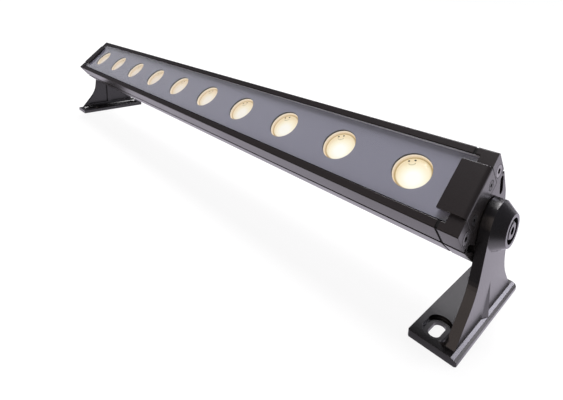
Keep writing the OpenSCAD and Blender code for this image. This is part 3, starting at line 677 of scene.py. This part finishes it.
light_cups = finish_piece("light_cups", bm, (CUP,), "lamp_head")
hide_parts("reflectors")
print("cups:", len(light_cups.data.vertices), "points")

# %% [markdown]
# ### Lenses
# A lens is a shallow frosted dome with a short straight edge, seated in its cup. Its profile is a
# quarter of an ellipse, and its UV map "place" is the place on the lens over the lens's radius.

# %% Lenses
LENS_GAP = 0.1 * MM
LENS_R = SEAT_R - LENS_GAP
LENS_EDGE = 0.6 * MM
LENS_RISE = 1.5 * MM
DOME_STEPS = 10

lens_profile = [(LENS_R - LENS_EDGE, LENS_SEAT), (LENS_R, LENS_SEAT)] + [
    (LENS_R * math.cos(t), LENS_SEAT + LENS_EDGE + LENS_RISE * math.sin(t))
    for t in [math.pi / 2 * i / DOME_STEPS for i in range(DOME_STEPS + 1)]
]
bm = turned_at_each_light(lens_profile)
place = bm.loops.layers.uv.new("place")
for face in bm.faces:
    centre_x = min(LED_X, key=lambda x: abs(x - face.calc_center_median().x))
    for loop in face.loops:
        loop[place].uv = ((loop.vert.co.x - centre_x) / LENS_R, loop.vert.co.y / LENS_R)
frosted = finish_piece("frosted_lenses", bm, (LENS,), "lamp_head",
                       smooth=math.radians(60))
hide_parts("lenses")
print("lenses:", len(frosted.data.vertices), "points")

# %% [markdown]
# ### Marks in the lenses
# Near the far edge of each lens two dark dots and a small arc show, where the contacts of the
# source shine through. The lens's shader could paint them, but small pieces of their own stay
# sharp from close by. They are flat shapes first, turned to their angle and laid on the dome.

# %% Marks in the lenses
DOT_R = 0.6 * MM
DOT_FLATNESS = 0.3
DOT_APART = 1.75 * MM
MARK_AT = (-4.0 * MM, 7.0 * MM)
MARK_TURN = math.radians(28)
ARC_R = 2.3 * MM
ARC_SPAN = math.radians(115)
ARC_DOWN = 0.6 * MM
ARC_WIRE = 0.2 * MM
ARC_FLATNESS = 0.5


def lens_height(x, y):
    """Height of the dome at a place in the lens."""
    share = min(1.0, math.hypot(x, y) / LENS_R)
    return LENS_SEAT + LENS_EDGE + LENS_RISE * math.sqrt(1.0 - share * share)


def onto_lens(bm, verts, centre_x):
    """Turns a flat mark to its angle and lays it on the dome of one lens."""
    turn(bm, verts, MARK_TURN, "Z")
    bmesh.ops.translate(bm, vec=(*MARK_AT, 0), verts=verts)
    for vert in verts:
        vert.co.z += lens_height(vert.co.x, vert.co.y)
        vert.co.x += centre_x


def add_dot(bm, side):
    """One flattened ball, to one side of the middle of the marks."""
    verts = bmesh.ops.create_uvsphere(bm, u_segments=12, v_segments=8, radius=DOT_R)["verts"]
    bmesh.ops.scale(bm, vec=(1, 1, DOT_FLATNESS), verts=verts)
    bmesh.ops.translate(bm, vec=(side * DOT_APART, 0, 0), verts=verts)
    return verts


def add_arc(bm):
    """A flat wire, bent round below the dots."""
    before = set(bm.verts)
    ring = bmesh.ops.create_circle(bm, segments=8, radius=ARC_WIRE)["verts"]
    bmesh.ops.scale(bm, vec=(1, ARC_FLATNESS, 1), verts=ring)
    turn(bm, ring, RIGHT_ANGLE, "X")
    bmesh.ops.translate(bm, vec=(ARC_R, 0, 0), verts=ring)
    turn(bm, ring, -RIGHT_ANGLE - ARC_SPAN / 2, "Z")
    bmesh.ops.spin(bm, geom=ring + edges_of(ring), cent=(0, 0, 0), axis=(0, 0, 1),
                   angle=ARC_SPAN, steps=12)
    verts = [vert for vert in bm.verts if vert not in before]
    bmesh.ops.translate(bm, vec=(0, -ARC_DOWN, 0), verts=verts)
    for face in {face for vert in verts for face in vert.link_faces}:
        face.material_index = 1
    return verts


bm = bmesh.new()
for x in LED_X:
    for mark in (add_dot(bm, -1), add_dot(bm, 1), add_arc(bm)):
        onto_lens(bm, mark, x)
lens_marks = finish_piece("lens_marks", bm, (MARK, MOULD_LINE), "lamp_head")
print("lens marks:", len(lens_marks.data.polygons), "faces")

# %% [markdown]
# ### Pivot bolts
# A socket head bolt holds each end of the lamp. Its head comes up to the rim of its recess, so its
# end mirrors the floor. Shank and head are spun from one profile, and the flat end is bridged to a
# hexagon that is then pulled down. A boolean could cut that socket, but it leaves ragged faces.

# %% Pivot bolts
BOLT_END = 272.2 * MM
BOLT_HEAD = 4.1 * MM
BOLT_HEAD_R = 4.9 * MM
BOLT_R = 3 * MM
BOLT_TIP = 248.0 * MM
BOLT_CHAMFER = 0.6 * MM
SOCKET_R = 2.4 * MM
SOCKET_LAND = 0.5 * MM
SOCKET_DEPTH = 2.3 * MM

bolt_profile = [
    (0.0, BOLT_TIP), (BOLT_R - BOLT_CHAMFER, BOLT_TIP), (BOLT_R, BOLT_TIP + BOLT_CHAMFER),
    (BOLT_R, BOLT_END - BOLT_HEAD), (BOLT_HEAD_R, BOLT_END - BOLT_HEAD),
    (BOLT_HEAD_R, BOLT_END - BOLT_CHAMFER), (BOLT_HEAD_R - BOLT_CHAMFER, BOLT_END),
    (SOCKET_R + SOCKET_LAND, BOLT_END),
]


def add_bolt(bm):
    """One bolt with its axis on z, and its points."""
    before = set(bm.verts)
    at_end = {vert for vert in add_turned(bm, bolt_profile, steps=48)
              if vert.co.z > BOLT_END - BOLT_CHAMFER / 2}
    land = [edge for edge in bm.edges if edge.is_boundary and at_end.issuperset(edge.verts)]
    hexagon = bmesh.ops.create_circle(bm, segments=6, radius=SOCKET_R)["verts"]
    bmesh.ops.translate(bm, vec=(0, 0, BOLT_END), verts=hexagon)
    mouth = edges_of(hexagon)
    bmesh.ops.bridge_loops(bm, edges=land + mouth)
    down = bmesh.ops.extrude_edge_only(bm, edges=mouth)["geom"]
    lower = {item for item in down if isinstance(item, bmesh.types.BMVert)}
    bmesh.ops.translate(bm, vec=(0, 0, -SOCKET_DEPTH), verts=list(lower))
    bottom = [item for item in down if isinstance(item, bmesh.types.BMEdge)
              and lower.issuperset(item.verts)]
    bmesh.ops.contextual_create(bm, geom=bottom)
    return [vert for vert in bm.verts if vert not in before]


bm = bmesh.new()
for side in (-1, 1):
    turn(bm, add_bolt(bm), side * RIGHT_ANGLE, "Y")
pivot_bolts = finish_piece("pivot_bolts", bm, (BOLT_STEEL,), "brackets",
                           matrix=PIVOT)
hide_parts("pivot_bolt_right", "pivot_bolt_left")
print("pivot bolts:", len(pivot_bolts.data.polygons), "faces")

# %% [markdown]
# ## Floor
# The floor is white, and it glows a little itself, so that the lamp throws only a light shadow.
# The coat is nearly black, so its tone is mostly the mirror image of the ground round the lamp. A
# plain white floor would turn every face the same grey. So mirror rays see an image of their own
# on the floor, which gives each face the tone that it has in the photograph: dark in front, pale
# behind, palest beside the near end, and warm far to the front left.
# Along the lamp the image is darker: a painted shadow of the lamp, which only mirror rays see.

# %% Floor
WHITE = (1, 1, 1, 1)
FLOOR_TONE = (0.15, 0.15, 0.15, 1)
FLOOR_GLOW = 0.9
FLOOR_HALF = 40.0
FLOOR_DROP = 0.2 * MM
ACROSS = (-0.05, 1.0, 0.0)  # from the front of the lamp to its back
ACROSS_SPAN = (-75 * MM, -30 * MM)  # where dark turns to pale
FRONT_LEVEL = 0.1
LAMP_SHADOW_END = (245 * MM, 265 * MM)  # where the painted shadow of the lamp ends, along the lamp
# painted shadow: along the lamp the floor's mirror image is darker
LAMP_SHADOW_LEVEL = 0.78
FRONT_LEFT = (-0.5, -0.87, 0.0)
WARM_SPAN = (0.15, 1.3)  # metres towards the front left
WARM_LEVEL = 0.3
IMAGE_COLOR = (1.08, 1.01, 1.16, 1)
IMAGE_WARM = (1.1, 0.85, 0.72, 1)


def floor_material():
    """White floor that shows mirror rays an image of its own."""
    mat, shader, out = new_material("white floor")
    tree = mat.node_tree
    feed(tree, shader, {"Base Color": FLOOR_TONE, "Roughness": 1.0, "Specular IOR Level": 0.0})
    add_glow(mat, WHITE, strength=FLOOR_GLOW)
    coords = add_node(tree, "TexCoord").outputs["Object"]
    along = add_node(tree, "SeparateXYZ", {"Vector": coords}).outputs["X"]
    across = measure(tree, "DOT_PRODUCT", coords, ACROSS)
    leftward = measure(tree, "DOT_PRODUCT", coords, FRONT_LEFT)
    behind = remap(tree, across, ACROSS_SPAN, to=(FRONT_LEVEL, 1.0), easing="SMOOTHSTEP")
    # painted shadow of the lamp in the mirror image, ending beside the near end
    beside = remap(tree, along, LAMP_SHADOW_END, to=(LAMP_SHADOW_LEVEL, 1.0), easing="SMOOTHSTEP")
    warm = remap(tree, leftward, WARM_SPAN, easing="SMOOTHSTEP")
    pale = calculate(tree, "MULTIPLY", behind, beside)
    level = calculate(tree, "MULTIPLY_ADD", warm, WARM_LEVEL, pale)
    image = add_node(tree, "Emission", {"Color": blend(tree, warm, IMAGE_COLOR, IMAGE_WARM),
                                        "Strength": level})
    mirrored = add_node(tree, "LightPath").outputs["Is Glossy Ray"]
    seen = either_shader(tree, mirrored, shader.outputs["BSDF"], image.outputs["Emission"])
    feed(tree, out, {"Surface": seen})
    return mat


bm = bmesh.new()
bmesh.ops.create_grid(bm, x_segments=1, y_segments=1, size=FLOOR_HALF)
mesh = bpy.data.meshes.new("floor")
bm.to_mesh(mesh)
bm.free()
mesh.materials.append(floor_material())
floor = bpy.data.objects.new("floor", mesh)
bpy.context.scene.collection.objects.link(floor)
floor.location.z = -FLOOR_DROP
print("floor:", 2 * FLOOR_HALF, "m wide,", round(FLOOR_DROP / MM, 2), "mm below the feet")

# %% [markdown]
# ## Light
# The backdrop is white to the camera. The room that lights the lamp is dim, so that the coat's
# upper faces stay dark, and a plain white world would turn them grey. Light rays and camera rays
# can see different worlds, because the world's shader can tell them apart.

# %% World: white to the camera, a dim room for light and mirror images
ROOM_TONE = (0.12, 0.12, 0.14, 1)


def studio_world():
    """White backdrop in front of a dim room."""
    world = bpy.data.worlds.new("studio")
    world.use_nodes = True
    tree = world.node_tree
    room = tree.nodes["Background"]
    feed(tree, room, {"Color": ROOM_TONE, "Strength": 1.0})
    backdrop = add_node(tree, "Background", {"Color": WHITE, "Strength": 1.0})
    ray = add_node(tree, "LightPath").outputs
    seen = calculate(tree, "MAXIMUM", ray["Is Camera Ray"], ray["Is Transmission Ray"])
    view = either_shader(tree, seen, room.outputs["Background"], backdrop.outputs["Background"])
    feed(tree, tree.nodes["World Output"], {"Surface": view})
    return world


bpy.context.scene.world = studio_world()
print("world:", bpy.context.scene.world.name)

# %% [markdown]
# One soft light from above gives the shadow. The others are panels, as in a photo studio: each is
# placed where one face of the coat mirrors it, and all are placed round the near end of the lamp
# by azimuth, height angle and distance, because a mirror image depends on those angles.

# %% Lights
NEAR_END = Vector((0.27, 0.0, 0.03))
WARM = (1.0, 0.82, 0.72)
COOL = (0.98, 0.95, 1.0)
SPARK_BLUE = (0.9, 0.87, 1.0)
SUN_WHITE = (1.0, 0.98, 1.0)


def add_light(name, kind, power, azimuth, height, distance, **settings):
    """Adds a light that points at the near end of the lamp, from angles in degrees."""
    data = bpy.data.lights.new(name, kind)
    data.energy = power
    for key, value in settings.items():
        setattr(data, key, value)
    light = bpy.data.objects.new(name, data)
    bpy.context.scene.collection.objects.link(light)
    bearing, rise = math.radians(azimuth), math.radians(height)
    away = Vector((math.cos(bearing) * math.cos(rise), math.sin(bearing) * math.cos(rise),
                   math.sin(rise)))
    light.location = NEAR_END + distance * away
    light.rotation_mode = "QUATERNION"
    light.rotation_quaternion = (-away).to_track_quat("-Z", "Y")


def add_panel(name, power, azimuth, height, distance, size, color):
    """Adds a soft panel of a width and a height in metres."""
    add_light(name, "AREA", power, azimuth, height, distance, shape="RECTANGLE",
              size=size[0], size_y=size[1], color=color)


add_light("top light", "SUN", power=4.2, azimuth=120, height=65, distance=3,
          angle=math.radians(35), color=SUN_WHITE)
add_panel("back panel", power=4.1, azimuth=112, height=35, distance=1.7, size=(1.5, 1.1),
          color=COOL)
add_panel("back right spark", power=4.2, azimuth=74, height=37, distance=1.6, size=(0.3, 0.45),
          color=SPARK_BLUE)
add_panel("low right panel", power=0.9, azimuth=68, height=12, distance=2.0, size=(0.7, 0.5),
          color=COOL)
add_panel("low right strip", power=1.7, azimuth=48, height=11, distance=2.0, size=(0.45, 0.45),
          color=COOL)
add_panel("warm front panel", power=6.5, azimuth=-102, height=22, distance=1.6, size=(2.0, 1.5),
          color=WARM)

# %% [markdown]
# ## Camera
# The camera was found by fitting the lamp's measured sizes to about 60 points in the photograph.

# %% Camera
CAMERA_PLACE = (0.32389, -0.20622, 0.16469)
CAMERA_TURN = (76.898, -1.815, 47.363)
CAMERA_LENS = 25.905
CAMERA_SHIFT_Y = -0.1954
NEAREST = 0.01
FARTHEST = 200.0

camera = bpy.data.objects.new("camera", bpy.data.cameras.new("camera"))
bpy.context.scene.collection.objects.link(camera)
camera.location = CAMERA_PLACE
camera.rotation_euler = [math.radians(angle) for angle in CAMERA_TURN]
camera.data.lens = CAMERA_LENS
camera.data.shift_y = CAMERA_SHIFT_Y
camera.data.clip_start = NEAREST
camera.data.clip_end = FARTHEST
bpy.context.scene.camera = camera
bpy.context.scene.view_settings.view_transform = "Standard"
print("camera:", CAMERA_LENS, "mm lens at", CAMERA_PLACE)
